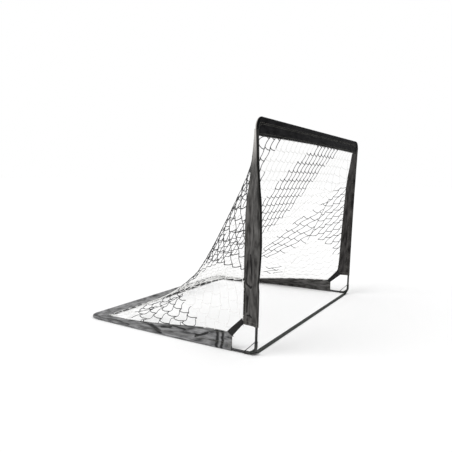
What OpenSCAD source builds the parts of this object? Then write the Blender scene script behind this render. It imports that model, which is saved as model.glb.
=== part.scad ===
// Folding street hockey goal: a pole frame for the mouth stands on a pole frame for the
// ground, on two flexible corner elbows. Fabric bands run over the poles and carry the net.
// X runs across the mouth, -Y is the side the ball comes from, Z is up. Millimetres.

/* [Goal] */
// Height from the ground to the top of the crossbar band
goal_h = 1220; // [900:10:1500]
// Depth on the ground, front of the mouth to the back of the rear band
goal_d = 1220; // [900:10:1500]
// Width over the bands at the ground, at the mouth
base_w = 1700; // [1300:10:2200]
// How far each post leans out by the time it reaches the top
post_splay = 65; // [20:5:110]
// How far each side pole bows in by the time it reaches the rear
rear_inset = 35; // [10:5:70]

/* [Poles] */
// Outside diameter of the poles
pole_d = 14; // [12:0.5:18]
// Wall of the tubular poles
pole_wall = 1.5; // [1:0.1:2]
// Bend radius of the two top corners
top_corner_r = 50; // [35:5:75]
// Bend radius of the two rear corners
rear_corner_r = 70; // [45:5:80]
// Length of each spigot and of each half of a ferrule
spigot_l = 40; // [20:5:60]
// Clearance on the radius where one piece slides into another
fit = 0.3; // [0.2:0.05:0.5]

/* [Elbows] */
// Bend radius of the flexible elbows, on their centre line
elbow_r = 40; // [30:2:50]
// Wall of the elbow hose between its sockets
elbow_wall = 1.1; // [0.8:0.1:1.5]
// Wall of the thicker sockets at its ends
socket_wall = 1.6; // [1.2:0.1:2.4]
// Length of each socket past the bend
socket_l = 15; // [10:1:30]

/* [Bands] */
// Width of a band from the outside of its pole tunnel to its inner edge
band_w = 96; // [80:2:120]
// Thickness of the tunnel cloth
tunnel_cloth = 1.6; // [1:0.1:2.4]
// Thickness of the flat part of a band, two layers with the net edge between
flap_t = 3; // [2:0.25:4]
// Ease of the tunnel over the pole, on the radius
tunnel_ease = 0.3; // [0.2:0.05:0.6]
// Gap along the mitre where two bands meet
seam = 0.6; // [0.4:0.1:0.9]
// Clear radius left inside a bend, where the inner edges of two bands meet
mitre_clear = 2.5; // [1.5:0.1:4]
// Bare length of pole left at each front corner, from the outer corner
bare_l = 152; // [125:1:190]
// Turn of a post band off the side of the goal, at its lower end, in degrees
post_turn_low = 8; // [0:1:15]
// Turn of a post band just under the crossbar band, in degrees
post_turn_high = 52; // [40:1:65]
// Lean of a side band from upright at its front end, in degrees
side_lean_front = 4; // [0:1:12]

/* [Straps and cords] */
// Width of the webbing across the mouth
strap_w = 28; // [20:1:32]
// Thickness of the webbing across the mouth
strap_t = 2; // [1.5:0.1:2]
// Thickness of the webbing loop round each elbow
loop_t = 1.6; // [1.2:0.1:1.8]
// Width of the corner webbing between a post band and a side band
corner_web_w = 25; // [15:1:35]
// Thickness of the corner webbing
corner_web_t = 2; // [1.2:0.1:3]
// Diameter of the cord that holds each elbow at its right angle
cord_d = 3; // [2:0.5:5]
// Length of bare pole between the end of a socket and the loop of the cord
cord_gap = 7; // [5:1:12]

/* [Net] */
// Meshes across the net
net_cols = 12; // [8:1:13]
// Rows of meshes from the crossbar to the rear, an even number
net_rows = 20; // [12:2:20]
// Width of the twine
twine_w = 5; // [3:0.5:8]
// Thickness of the twine
twine_t = 3; // [2:0.5:4]
// Rows of them that end on a side band, the others end on a post band
side_rows = 8; // [4:1:10]
// Gap along the seam of the net with a band
net_seam = 2.5; // [2.4:0.1:3.2]
// Part of its run to the rear that the net makes evenly as it comes down
net_fall = 0.76; // [0.6:0.02:1]
// How late the rest of the run comes: the higher, the lower down
net_sweep = 6; // [3:1:8]
// Tautness of the net across the top: the higher, the less its sides draw it out
net_taut = 13; // [8:1:16]
// Tautness of the net across its rear edge
net_rear_taut = 8; // [3:0.5:10]

/* [Hidden] */

POLE = [0.12, 0.12, 0.13];
MOULDED = [0.08, 0.08, 0.08];
BAND = [0.22, 0.22, 0.23];
WEBBING = [0.2, 0.21, 0.21];
CORD = [0.1, 0.1, 0.1];
TWINE = [0.55, 0.54, 0.52];
STEEL = [0.6, 0.6, 0.62];

UP = [0, 0, 1];
BACK = [0, 1, 0];
ARC_FN = 720;
ROUND_FN = 32;

pole_r = pole_d / 2;
bore_r = pole_r - pole_wall;
spigot_r = bore_r - fit;
hose_bore = pole_r + fit;
hose_r = hose_bore + elbow_wall;
socket_r = hose_bore + socket_wall;
tunnel_in = pole_r + tunnel_ease;
tunnel_out = tunnel_in + tunnel_cloth;
flap = band_w - tunnel_out;

// Centre lines of the poles
z0 = max(tunnel_out, socket_r);
yf = -goal_d / 2 + z0;
yr = goal_d / 2 - tunnel_out;
zt = goal_h - tunnel_out;
xb = base_w / 2 - z0;
socket_end = elbow_r + socket_l;

// A post is an arc that leaves its elbow upright and leans out by post_splay at the top
post_rise = zt - top_corner_r - (z0 + elbow_r);
lean = 2 * atan(post_splay / post_rise);
post_r = post_rise / sin(lean) - top_corner_r;
top_turn = 90 + lean;
top_cx = xb + post_splay - top_corner_r;
top_cz = zt - top_corner_r;

// A side pole is an arc that leaves its elbow straight back and bows in by rear_inset
side_run = yr - rear_corner_r - (yf + elbow_r);
bow = 2 * atan(rear_inset / side_run);
side_r = side_run / sin(bow) + rear_corner_r;
rear_turn = 90 - bow;
rear_cx = xb - rear_inset - rear_corner_r;
rear_cy = yr - rear_corner_r;

// Mitre of two bands at a corner of radius r that turns by turn: the depth left at the
// bend, and the length before the bend over which the inner edge runs in to it
function mitre_depth(r) = min(flap, r - mitre_clear);
function mitre_run(r, turn) = (flap - mitre_depth(r)) * tan(turn / 2) + seam;

// Directions of travel a up a post and round a top corner, and the outward normal there
function up_dir(a) = [sin(a), 0, cos(a)];
function up_out(a) = [cos(a), 0, -sin(a)];
function post_at(a) = [xb + post_r, yf, z0 + elbow_r] - post_r * up_out(a);
function top_at(a) = [top_cx, yf, top_cz] + top_corner_r * up_out(a);

// The same back along a side pole and round a rear corner
function back_dir(b) = [-sin(b), cos(b), 0];
function back_out(b) = [cos(b), sin(b), 0];
function side_at(b) = [xb - side_r, yf + elbow_r, z0] + side_r * back_out(b);
function rear_at(b) = [rear_cx, rear_cy, z0] + rear_corner_r * back_out(b);

// Where the bands start, and where their inner edges meet the mitres
post_a0 = asin((bare_l - z0 - elbow_r) / post_r);
post_a1 = lean - (mitre_run(top_corner_r, top_turn) / post_r) * 180 / PI;
side_b0 = asin((bare_l - z0 - elbow_r) / side_r);
side_b1 = bow - (mitre_run(rear_corner_r, rear_turn) / side_r) * 180 / PI;

// Turn of a post band from the side of the goal to the plane of the mouth, t from 0 at its
// lower end to 1 at the mitre
function post_turn(t) = post_turn_low
    + (post_turn_high - post_turn_low) * max(0, (t - 0.6) / 0.4)
    + (90 - post_turn_high) * pow(t, 20);
// Lean of a side band from upright to flat on the ground
function side_lean(t) = 90 - (90 - side_lean_front) * pow(1 - t, 2);

function post_flap_dir(a, t) = cos(post_turn(t)) * BACK - sin(post_turn(t)) * up_out(a);
function side_flap_dir(b, t) = cos(side_lean(t)) * UP - sin(side_lean(t)) * back_out(b);

// Stations that crowd towards the end, and even ones
function crowd(n) = [for (i = [0:n]) 1 - pow(1 - i / n, 1.7)];
function even(n) = [for (i = [0:n]) i / n];
function mix(a, b, t) = a + (b - a) * t;

// A station is its centre, direction of travel, flap direction and flap depth
function top_bend(a0, a1) = [for (t = even(4))
    let (a = mix(a0, a1, t))
    [top_at(a), up_dir(a), -up_out(a), mitre_depth(top_corner_r)]];
function rear_bend(b0, b1) = [for (t = even(4))
    let (b = mix(b0, b1, t))
    [rear_at(b), back_dir(b), -back_out(b), mitre_depth(rear_corner_r)]];
function half_seam(r) = seam / 2 / r * 180 / PI;
top_mitre = (lean - 90) / 2;
rear_mitre = (bow + 90) / 2;

post_stations = concat(
    [for (t = crowd(12))
        let (a = mix(post_a0, post_a1, t))
        [post_at(a), up_dir(a), post_flap_dir(a, t), flap]],
    top_bend(lean, top_mitre + half_seam(top_corner_r))
);
side_stations = concat(
    [for (t = even(12))
        let (b = mix(side_b0, side_b1, t))
        [side_at(b), back_dir(b), side_flap_dir(b, t), flap]],
    rear_bend(bow, rear_mitre - half_seam(rear_corner_r))
);

// The crossbar and rear bands run from one mitre to the other: here, to the middle
crossbar_x = top_cx - mitre_run(top_corner_r, top_turn);
crossbar_half = concat(
    top_bend(top_mitre - half_seam(top_corner_r), -90),
    [for (t = even(3)) [[mix(crossbar_x, 0, t), yf, zt], [-1, 0, 0], -UP, flap]]
);
rear_x = rear_cx - mitre_run(rear_corner_r, rear_turn);
rear_half = concat(
    rear_bend(rear_mitre + half_seam(rear_corner_r), 90),
    [for (t = even(3)) [[mix(rear_x, 0, t), yr, z0], [-1, 0, 0], -BACK, flap]]
);

// A half band carried on over the middle to the other side
function flip_x(v) = [-v[0], v[1], v[2]];
function whole_band(half) = concat(
    half,
    [for (i = [len(half) - 2:-1:0])
        let (s = half[i])
        [flip_x(s[0]), -flip_x(s[1]), flip_x(s[2]), s[3]]]
);

// A band: a tunnel of cloth over the pole, with the flap sewn out of one side of it
TUNNEL_N = 14;
function unit(v) = v / norm(v);
function band_section(s) =
    let (
        d = s[2],
        e = unit(cross(s[1], d)),
        root = asin(flap_t / 2 / tunnel_out),
        step = (360 - 2 * root) / (TUNNEL_N - 1),
        angles = [for (k = [0:TUNNEL_N - 1]) root + k * step]
    )
    concat(
        [s[0] + s[3] * d + flap_t / 2 * e],
        [for (g = angles) s[0] + tunnel_out * (cos(g) * d + sin(g) * e)],
        [s[0] + s[3] * d - flap_t / 2 * e],
        [for (g = angles) s[0] + tunnel_in / cos(step / 2) * (cos(g) * d + sin(g) * e)]
    );

module band(stations) {
    n = TUNNEL_N;
    outer = n + 2;
    all = outer + n;
    last = (len(stations) - 1) * all;
    points = [for (s = stations) each band_section(s)];
    // The two faces of the flap are cut along the same diagonal, so it keeps its thickness
    walls = [for (i = [0:len(stations) - 2], k = [0:outer - 1])
        let (p = i * all + k, q = i * all + (k + 1) % outer)
        each k == n
            ? [[p, p + all, q], [q, p + all, q + all]]
            : [[p, q + all, q], [p, p + all, q + all]]];
    lining = [for (i = [0:len(stations) - 2], k = [0:n - 1])
        let (p = i * all + outer + k, q = i * all + outer + (k + 1) % n)
        each [[p, q, q + all], [p, q + all, p + all]]];
    ring = [for (k = [0:n - 1])
        let (p = 1 + k, q = 1 + (k + 1) % n, pi = outer + k, qi = outer + (k + 1) % n)
        each [[p, q, qi], [p, qi, pi]]];
    tab = [[0, 1, n], [0, n, n + 1]];
    start = concat(ring, tab);
    end = [for (f = start) [last + f[2], last + f[1], last + f[0]]];
    polyhedron(points = points, faces = concat(walls, lining, start, end), convexity = 8);
}

// Poles, bends and ferrules
module tube_arc(r, a, out_r, in_r) {
    rotate_extrude(angle = a, $fn = ARC_FN)
        translate([r, 0])
            difference() {
                circle(r = out_r, $fn = ROUND_FN);
                if (in_r > 0) circle(r = in_r, $fn = ROUND_FN);
            }
}

module tube(l, out_r, in_r) {
    difference() {
        cylinder(r = out_r, h = l, $fn = ROUND_FN);
        translate([0, 0, -1])
            cylinder(r = in_r, h = l + 2, $fn = ROUND_FN);
    }
}

// A side pole lies on the ground, with its front end in the elbow's socket
module base_pole() {
    color(POLE)
        translate([xb - side_r, yf + elbow_r, z0])
            tube_arc(side_r, bow, pole_r, bore_r);
}

// A post stands in the other socket of the elbow
module post_pole() {
    color(POLE)
        translate([xb + post_r, yf, z0 + elbow_r])
            rotate([90, 0, 0])
                rotate(180 - lean)
                    tube_arc(post_r, lean, pole_r, bore_r);
}

// A bent corner with a spigot at each end that slides into the poles
module bent_corner(r, turn) {
    root = 2;
    tube_arc(r, turn, pole_r, 0);
    translate([r, root, 0])
        rotate([90, 0, 0])
            cylinder(r = spigot_r, h = spigot_l + root, $fn = ROUND_FN);
    rotate(turn)
        translate([r, -root, 0])
            rotate([-90, 0, 0])
                cylinder(r = spigot_r, h = spigot_l + root, $fn = ROUND_FN);
}

module rear_corner() {
    color(POLE)
        translate([rear_cx, rear_cy, z0])
            rotate(bow)
                bent_corner(rear_corner_r, rear_turn);
}

module top_corner() {
    color(POLE)
        translate([top_cx, yf, top_cz])
            rotate([90, 0, 0])
                rotate(-lean)
                    bent_corner(top_corner_r, top_turn);
}

// Half of a straight pole, from a corner to the middle joint
module half_pole(x, y, z) {
    color(POLE)
        translate([fit / 2, y, z])
            rotate([0, 90, 0])
                tube(x - fit / 2, pole_r, bore_r);
}

module ferrule(y, z) {
    color(STEEL)
        translate([-spigot_l, y, z])
            rotate([0, 90, 0])
                cylinder(r = spigot_r, h = 2 * spigot_l, $fn = ROUND_FN);
}

// The flexible elbow: a hose bent to a right angle between two thicker sockets
module elbow() {
    color(MOULDED) {
        translate([xb, yf + elbow_r, z0 + elbow_r])
            rotate([0, 90, 0])
                rotate(-90)
                    tube_arc(elbow_r, 90, hose_r, hose_bore);
        translate([xb, yf, z0 + elbow_r])
            tube(socket_l, socket_r, hose_bore);
        translate([xb, yf + elbow_r, z0])
            rotate([-90, 0, 0])
                tube(socket_l, socket_r, hose_bore);
    }
}

// The cord across the elbow, bound round the post at one end and the side pole at the other
module elbow_cord() {
    reach = socket_end + cord_gap;
    start = hose_bore + 0.75 * socket_wall;
    color(CORD) {
        translate([xb, yf, z0 + reach - cord_d])
            tube(2 * cord_d, socket_r, hose_bore);
        translate([xb, yf + reach - cord_d, z0])
            rotate([-90, 0, 0])
                tube(2 * cord_d, socket_r, hose_bore);
        translate([xb, yf + start, z0 + reach])
            rotate([-135, 0, 0])
                cylinder(r = cord_d / 2, h = (reach - start) * sqrt(2), $fn = 24);
    }
}

// Webbing sewn from the lower end of a post band to the front end of a side band
module corner_webbing() {
    along = corner_web_w * sqrt(2);
    post_end = post_at(post_a0) - [0, 0, seam];
    side_end = side_at(side_b0) - [0, seam, 0];
    pd = post_flap_dir(post_a0, 0);
    sd = side_flap_dir(side_b0, 0);
    quad = [
        post_end + (flap - along) * pd,
        post_end + flap * pd,
        side_end + flap * sd,
        side_end + (flap - along) * sd
    ];
    n = unit(cross(quad[1] - quad[0], quad[3] - quad[0])) * corner_web_t / 2;
    color(WEBBING)
        polyhedron(
            points = concat([for (p = quad) p - n], [for (p = quad) p + n]),
            faces = [
                [0, 1, 2], [0, 2, 3], [4, 6, 5], [4, 7, 6],
                [0, 4, 5], [0, 5, 1], [1, 5, 6], [1, 6, 2],
                [2, 6, 7], [2, 7, 3], [3, 7, 4], [3, 4, 0]
            ]
        );
}

// Webbing on the ground across the mouth, with a loop round each elbow
module front_strap() {
    a0 = 15;
    sweep = strap_w / elbow_r * 180 / PI;
    mid = a0 + sweep / 2;
    y = yf + elbow_r * (1 - sin(mid));
    color(WEBBING) {
        translate([-xb, y - strap_w / 2, 0])
            cube([2 * xb, strap_w, strap_t]);
        for (side = [-1, 1])
            translate([side * xb, yf + elbow_r, z0 + elbow_r])
                rotate([0, 90, 0])
                    rotate(-a0 - sweep)
                        tube_arc(elbow_r, sweep, hose_r + fit + loop_t, hose_r + fit);
    }
}

// Edges of the net: it hangs from the crossbar band, runs down the post bands, crosses the
// corner webbing, runs back along the side bands and ends on the rear band
edge = flap + net_seam;
net_top = [top_cx - (edge - top_corner_r) * tan(top_turn / 2), yf, zt - edge];
net_rear = [rear_cx - (edge - rear_corner_r) * tan(rear_turn / 2), yr - edge, z0];
post_edge = concat(
    [net_top],
    [for (i = [1:14])
        let (t = 1 - pow(i / 14, 1.7), a = mix(post_a0, post_a1, t))
        post_at(a) + edge * post_flap_dir(a, t)]
);
side_edge = concat(
    [post_edge[14]],
    [for (i = [0:13])
        let (t = i / 14, b = mix(side_b0, side_b1, t))
        side_at(b) + edge * side_flap_dir(b, t)],
    [net_rear]
);

// A line through points p as three tables of its coordinates, by v from v0 to v1
function run_of(p, i = 0, s = 0) = i == len(p) - 1 ? [s]
    : concat([s], run_of(p, i + 1, s + norm(p[i + 1] - p[i])));
function tables(p, v0, v1) =
    let (runs = run_of(p), total = runs[len(p) - 1])
    [for (k = [0:2]) [for (i = [0:len(p) - 1]) [mix(v0, v1, runs[i] / total), p[i][k]]]];
function look(tab, v) = [for (k = [0:2]) lookup(v, tab[k])];

// Rows are even down a post band and again along a side band
post_share = 1 - side_rows / net_rows;
post_table = tables(post_edge, 0, post_share);
side_table = tables(side_edge, post_share, 1);
function side_point(v) = v < post_share ? look(post_table, v) : look(side_table, v);

// Down its middle the net hangs in a slack curve from the crossbar to the rear
function hang(t) = net_fall * t + (1 - net_fall) * pow(t, net_sweep);
middle_table = tables(
    [for (t = even(48)) [0, mix(net_top[1], net_rear[1], hang(t)), mix(net_top[2], net_rear[2], t)]],
    0, 1
);
function chord_at(v) =
    let (m = look(middle_table, v))
    [mix(net_top[0], net_rear[0], v), m[1], m[2]];

// The net is drawn out of that curve to its side edges over a width that grows downwards
function net_pull(u, v) =
    let (k = net_rear_taut + net_taut * ln(1 / max(v, 0.002)))
    (exp(k * (1 - u)) - exp(-k * (1 - u))) / (exp(k) - exp(-k));
function net_at(u, v) =
    let (chord = chord_at(v), right = side_point(v) - chord)
    [chord[0] * (2 * u - 1), chord[1], chord[2]]
        + net_pull(1 - u, v) * right + net_pull(u, v) * flip_x(right);
function net_normal(u, v) =
    let (
        du = net_at(min(u + 0.004, 1), v) - net_at(max(u - 0.004, 0), v),
        dv = net_at(u, min(v + 0.004, 1)) - net_at(u, max(v - 0.004, 0))
    )
    unit(cross(du, dv));

// Lattice of the honeycomb: row lines that zigzag, with the long sides of the meshes
// running down the slope between them
function zigzag(r, j) = (r == 0 || r == net_rows || j == 0 || j == 2 * net_cols) ? 0
    : ((r + j) % 2 == 0 ? 1 : -1) / net_rows / 5;
function lattice_uv(r, j) = [j / (2 * net_cols), r / net_rows + zigzag(r, j)];
function mesh_ring(r, j) = j < 0 ? [[r, 0], [r, 1], [r + 1, 1], [r + 1, 0]]
    : j + 2 > 2 * net_cols ? [[r, j], [r, j + 1], [r + 1, j + 1], [r + 1, j]]
    : [[r, j], [r, j + 1], [r, j + 2], [r + 1, j + 2], [r + 1, j + 1], [r + 1, j]];
meshes = [for (r = [0:net_rows - 1], j = [(r % 2 == 0 ? 0 : -1):2:2 * net_cols - 1]) mesh_ring(r, j)];

module net() {
    wide = 2 * net_cols + 1;
    knots = [for (r = [0:net_rows], j = [0:wide - 1]) lattice_uv(r, j)];
    lattice = [for (k = knots) net_at(k[0], k[1])];
    normals = [for (k = knots) net_normal(k[0], k[1]) * twine_t / 2];
    rings = [for (m = meshes) [for (c = m) c[0] * wide + c[1]]];
    holes = [for (q = rings) each mesh_hole([for (i = q) lattice[i]], [for (i = q) unit(normals[i])])];
    hole_normals = [for (q = rings, i = q) normals[i]];
    flat = concat(lattice, holes);
    lift = concat(normals, hole_normals);
    total = len(flat);
    starts = [for (i = 0, s = len(lattice); i < len(rings); s = s + len(rings[i]), i = i + 1) s];
    faces = [for (i = [0:len(rings) - 1], k = [0:len(rings[i]) - 1])
        let (
            n = len(rings[i]),
            p = rings[i][k],
            q = rings[i][(k + 1) % n],
            a = starts[i] + k,
            b = starts[i] + (k + 1) % n
        )
        each [
            [p, q, b], [p, b, a], [p + total, b + total, q + total], [p + total, a + total, b + total],
            [a, b, b + total], [a, b + total, a + total]
        ]];
    border = concat(
        [for (j = [0:wide - 2]) [j + 1, j]],
        [for (r = [0:net_rows - 1]) [r * wide, (r + 1) * wide]],
        [for (j = [0:wide - 2]) [net_rows * wide + j, net_rows * wide + j + 1]],
        [for (r = [0:net_rows - 1]) [(r + 2) * wide - 1, (r + 1) * wide - 1]]
    );
    rim = [for (e = border) each [[e[0], e[1], e[1] + total], [e[0], e[1] + total, e[0] + total]]];
    color(TWINE)
        polyhedron(
            points = concat(flat - lift, flat + lift),
            faces = concat(faces, rim),
            convexity = 12
        );
}

// The open part of a mesh: its ring drawn in by half the width of the twine on every side
function mesh_hole(ring, up) =
    [for (k = [0:len(ring) - 1])
        let (
            n = len(ring),
            p = ring[k],
            m1 = unit(cross(up[k], p - ring[(k + n - 1) % n])),
            m2 = unit(cross(up[k], ring[(k + 1) % n] - p))
        )
        p + twine_w / 2 * (m1 + m2) / (1 + m1 * m2)];

module left() {
    mirror([1, 0, 0]) children();
}

left() base_pole();  // base_pole_left
base_pole();  // base_pole_right
left() rear_corner();  // rear_corner_left
rear_corner();  // rear_corner_right
left() half_pole(rear_cx, yr, z0);  // rear_pole_left
half_pole(rear_cx, yr, z0);  // rear_pole_right
ferrule(yr, z0);  // rear_ferrule
left() elbow();  // elbow_left
elbow();  // elbow_right
left() elbow_cord();  // elbow_cord_left
elbow_cord();  // elbow_cord_right
left() post_pole();  // post_pole_left
post_pole();  // post_pole_right
left() top_corner();  // top_corner_left
top_corner();  // top_corner_right
left() half_pole(top_cx, yf, zt);  // crossbar_pole_left
half_pole(top_cx, yf, zt);  // crossbar_pole_right
ferrule(yf, zt);  // crossbar_ferrule
left() color(BAND) band(side_stations);  // base_sleeve_left
color(BAND) band(side_stations);  // base_sleeve_right
color(BAND) band(whole_band(rear_half));  // rear_sleeve
left() color(BAND) band(post_stations);  // post_sleeve_left
color(BAND) band(post_stations);  // post_sleeve_right
color(BAND) band(whole_band(crossbar_half));  // crossbar_sleeve
left() corner_webbing();  // corner_webbing_left
corner_webbing();  // corner_webbing_right
front_strap();
net();
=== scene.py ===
import math
from functools import reduce

import bmesh
import bpy
import numpy as np
from mathutils import Matrix, Vector, noise


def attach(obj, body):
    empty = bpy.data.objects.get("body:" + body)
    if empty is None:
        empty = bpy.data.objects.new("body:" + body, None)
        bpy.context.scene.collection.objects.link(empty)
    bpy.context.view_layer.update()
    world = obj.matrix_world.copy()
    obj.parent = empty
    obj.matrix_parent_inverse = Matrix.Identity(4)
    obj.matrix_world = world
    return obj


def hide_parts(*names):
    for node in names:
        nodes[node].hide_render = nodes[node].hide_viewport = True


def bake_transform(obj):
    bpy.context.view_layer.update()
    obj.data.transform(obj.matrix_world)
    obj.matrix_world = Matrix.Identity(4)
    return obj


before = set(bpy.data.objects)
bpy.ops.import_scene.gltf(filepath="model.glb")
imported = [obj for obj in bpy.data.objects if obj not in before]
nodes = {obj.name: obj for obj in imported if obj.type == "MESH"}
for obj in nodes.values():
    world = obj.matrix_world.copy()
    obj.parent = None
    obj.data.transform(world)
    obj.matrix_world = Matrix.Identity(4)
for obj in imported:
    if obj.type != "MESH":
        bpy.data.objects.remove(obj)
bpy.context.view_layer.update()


# ---------------------------------------------------------------- Camera
# The goal is seen from its left front corner, from the height of a player's chest, with
# the near post in the middle of the view and the mouth opening to the right.
VIEW_WIDTH, FOCAL_LENGTH = 452, 502  # both in pixels
EYE = Vector((-3.1244, -1.6897, 0.9248))
YAW, PITCH, ROLL = (math.radians(angle) for angle in (-60.638, 5.701, 1.44))

lens = bpy.data.cameras.new("view")
lens.sensor_width = 36
lens.lens = FOCAL_LENGTH / VIEW_WIDTH * lens.sensor_width
lens.clip_end = 200
camera = bpy.data.objects.new("view", lens)
bpy.context.scene.collection.objects.link(camera)
ahead = Vector((-math.sin(YAW) * math.cos(PITCH), math.cos(YAW) * math.cos(PITCH), -math.sin(PITCH)))
level = Vector((math.cos(YAW), math.sin(YAW), 0))
upright = level.cross(ahead)
rightward = math.cos(ROLL) * level + math.sin(ROLL) * upright
topward = -math.sin(ROLL) * level + math.cos(ROLL) * upright
turned = Matrix((rightward, topward, -ahead)).transposed().to_4x4()
camera.matrix_world = Matrix.Translation(EYE) @ turned
bpy.context.scene.camera = camera
bpy.context.scene.view_settings.view_transform = "Standard"


# ---------------------------------------------------------------- Floor and light
# A white studio floor that runs into a white surround, one large soft lamp above the
# mouth and even light from all round.
FLOOR_RADIUS, FLOOR_BELOW = 60, 0.0005
SURROUND_LIGHT = 0.74  # the surround's strength as a light; as a backdrop it is 1
LAMP_POWER, LAMP_ANGLE = 1.3, math.radians(35)
LAMP_WAY = Vector((0.6, -0.38, -0.8))


class Signal:
    """A node's output that sums are written on. Each sign adds a Math node."""

    def __init__(self, tree, socket):
        self.tree, self.socket = tree, socket

    def maths(self, operation, *values):
        node = self.tree.nodes.new("ShaderNodeMath")
        node.operation = operation
        for slot, value in zip(node.inputs, values):
            if isinstance(value, Signal):
                self.tree.links.new(value.socket, slot)
            else:
                slot.default_value = value
        return Signal(self.tree, node.outputs[0])

    def __add__(self, other):
        return self.maths("ADD", self, other)

    def __sub__(self, other):
        return self.maths("SUBTRACT", self, other)

    def __rsub__(self, other):
        return self.maths("SUBTRACT", other, self)

    def __mul__(self, other):
        return self.maths("MULTIPLY", self, other)

    __radd__ = __add__
    __rmul__ = __mul__

    def below(self, other):
        return self.maths("LESS_THAN", self, other)

    def above(self, other):
        return self.maths("GREATER_THAN", self, other)

    def wave(self, period):
        return self.maths("SINE", self * (2 * math.pi / period))

    def size(self):
        return self.maths("ABSOLUTE", self)

    def either(self, other):
        return self.maths("MAXIMUM", self, other)


class Finish:
    """A material. What is uniform is set on its shader, and what varies is fed to it."""

    def __init__(self, name, **settings):
        self.material = bpy.data.materials.new(name)
        self.material.use_nodes = True
        self.tree = self.material.node_tree
        self.shader = self.tree.nodes["Principled BSDF"]
        for key, value in settings.items():
            self.shader.inputs[key.replace("_", " ")].default_value = value

    def node(self, kind, settings=None, output=0, **sockets):
        """Any node but a Math node. Its sockets go by their names, with _ for a space, or
        as i and a number."""
        node = self.tree.nodes.new("ShaderNode" + kind)
        for key, value in (settings or {}).items():
            setattr(node, key, value)
        for key, value in sockets.items():
            slot = node.inputs[int(key[1:]) if key[1:].isdigit() else key.replace("_", " ")]
            if isinstance(value, Signal):
                self.tree.links.new(value.socket, slot)
            else:
                slot.default_value = value
        return Signal(self.tree, node.outputs[output])

    def feed(self, key, value):
        self.tree.links.new(value.socket, self.shader.inputs[key])

    def bump(self, height, distance):
        self.feed("Normal", self.node("Bump", Distance=distance, Height=height))

    def blend_colour(self, factor, dark, light):
        def value(colour):
            return colour if isinstance(colour, Signal) else (*colour, 1)
        return self.node("Mix", {"data_type": "RGBA"}, 2, i0=factor, i6=value(dark), i7=value(light))

    def place(self):
        return self.node("TexCoord", output="Object")

    def across_along(self):
        """The piece's own UV map, and the metres across and along it."""
        chart = self.node("TexCoord", output="UV")
        across = self.node("SeparateXYZ", i0=chart)
        return chart, across, Signal(self.tree, across.socket.node.outputs[1])

    def speckle(self, where, scale, detail):
        return self.node("TexNoise", Vector=where, Scale=scale, Detail=detail)


world = bpy.data.worlds.new("studio")
bpy.context.scene.world = world
world.use_nodes = True
sky = world.node_tree
surround = sky.nodes["Background"]
surround.inputs["Color"].default_value = (1, 1, 1, 1)
rays = sky.nodes.new("ShaderNodeLightPath").outputs
seen_as_white = [Signal(sky, rays[f"Is {way} Ray"]) for way in ("Camera", "Glossy", "Transmission")]
strength = SURROUND_LIGHT + (1 - SURROUND_LIGHT) * reduce(Signal.either, seen_as_white)
sky.links.new(strength.socket, surround.inputs["Strength"])

lamp = bpy.data.lights.new("lamp", "SUN")
lamp.energy = LAMP_POWER
lamp.angle = LAMP_ANGLE
lamp_object = bpy.data.objects.new("lamp", lamp)
lamp_object.rotation_euler = LAMP_WAY.to_track_quat("-Z", "Y").to_euler()
bpy.context.scene.collection.objects.link(lamp_object)

white_floor = Finish("floor_white", Base_Color=(1, 1, 1, 1), Roughness=1.0, Specular_IOR_Level=0.0)
disc = bmesh.new()
bmesh.ops.create_circle(disc, cap_ends=True, segments=96, radius=FLOOR_RADIUS)
bmesh.ops.translate(disc, verts=disc.verts, vec=(0, 0, -FLOOR_BELOW))
floor_mesh = bpy.data.meshes.new("floor")
disc.to_mesh(floor_mesh)
disc.free()
floor = bpy.data.objects.new("floor", floor_mesh)
bpy.context.scene.collection.objects.link(floor)
floor.data.materials.append(white_floor.material)


# ---------------------------------------------------------------- Poles
# Fibreglass poles of 14 mm with a black gel coat, two bent rear corners, two bent top
# corners, and an aluminium ferrule in each long pole where its halves meet.
def cover(node_name, finish):
    """The node keeps its own mesh and gets the finish."""
    slots = nodes[node_name].data.materials
    slots.clear()
    slots.append(finish.material)


gloss = Finish("pole_gloss", Specular_IOR_Level=0.25, Coat_Weight=0.1, Coat_Roughness=0.1)
dust = gloss.speckle(gloss.place(), scale=260, detail=5)
scuffs = gloss.speckle(gloss.place(), scale=18, detail=2)
gloss.feed("Base Color", gloss.blend_colour(dust * 0.6, (0.009, 0.009, 0.010), (0.028, 0.028, 0.030)))
gloss.feed("Roughness", 0.2 + scuffs * 0.12 + dust * 0.08)
gloss.bump(dust, 0.00006)
for side in ("left", "right"):
    for part in ("base_pole", "rear_pole", "post_pole", "crossbar_pole", "rear_corner", "top_corner"):
        cover(f"{part}_{side}", gloss)

drawn = Finish("ferrule_metal", Metallic=1.0)
draw_lines = drawn.speckle(drawn.node("Mapping", i0=drawn.place(), Scale=(4, 220, 220)), scale=6, detail=4)
drawn.feed("Roughness", 0.28 + draw_lines * 0.22)
drawn.feed("Base Color", drawn.blend_colour(draw_lines, (0.5, 0.5, 0.52), (0.7, 0.7, 0.72)))
drawn.bump(draw_lines, 0.00005)
cover("rear_ferrule", drawn)
cover("crossbar_ferrule", drawn)


# ---------------------------------------------------------------- Elbows
# A rubber hose bent to a right angle lets the mouth frame lie down. Its moulded sockets
# are thicker, and each pole is pushed 15 mm into one.
def middle_of(node_name):
    """The middle of a node's box, to a tenth of a millimetre."""
    corners = np.array([list(corner) for corner in nodes[node_name].bound_box])
    return [round(float(low + high) / 2, 4) for low, high in zip(corners.min(axis=0), corners.max(axis=0))]


ACROSS, BACK, UP = Vector((1, 0, 0)), Vector((0, 1, 0)), Vector((0, 0, 1))
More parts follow.
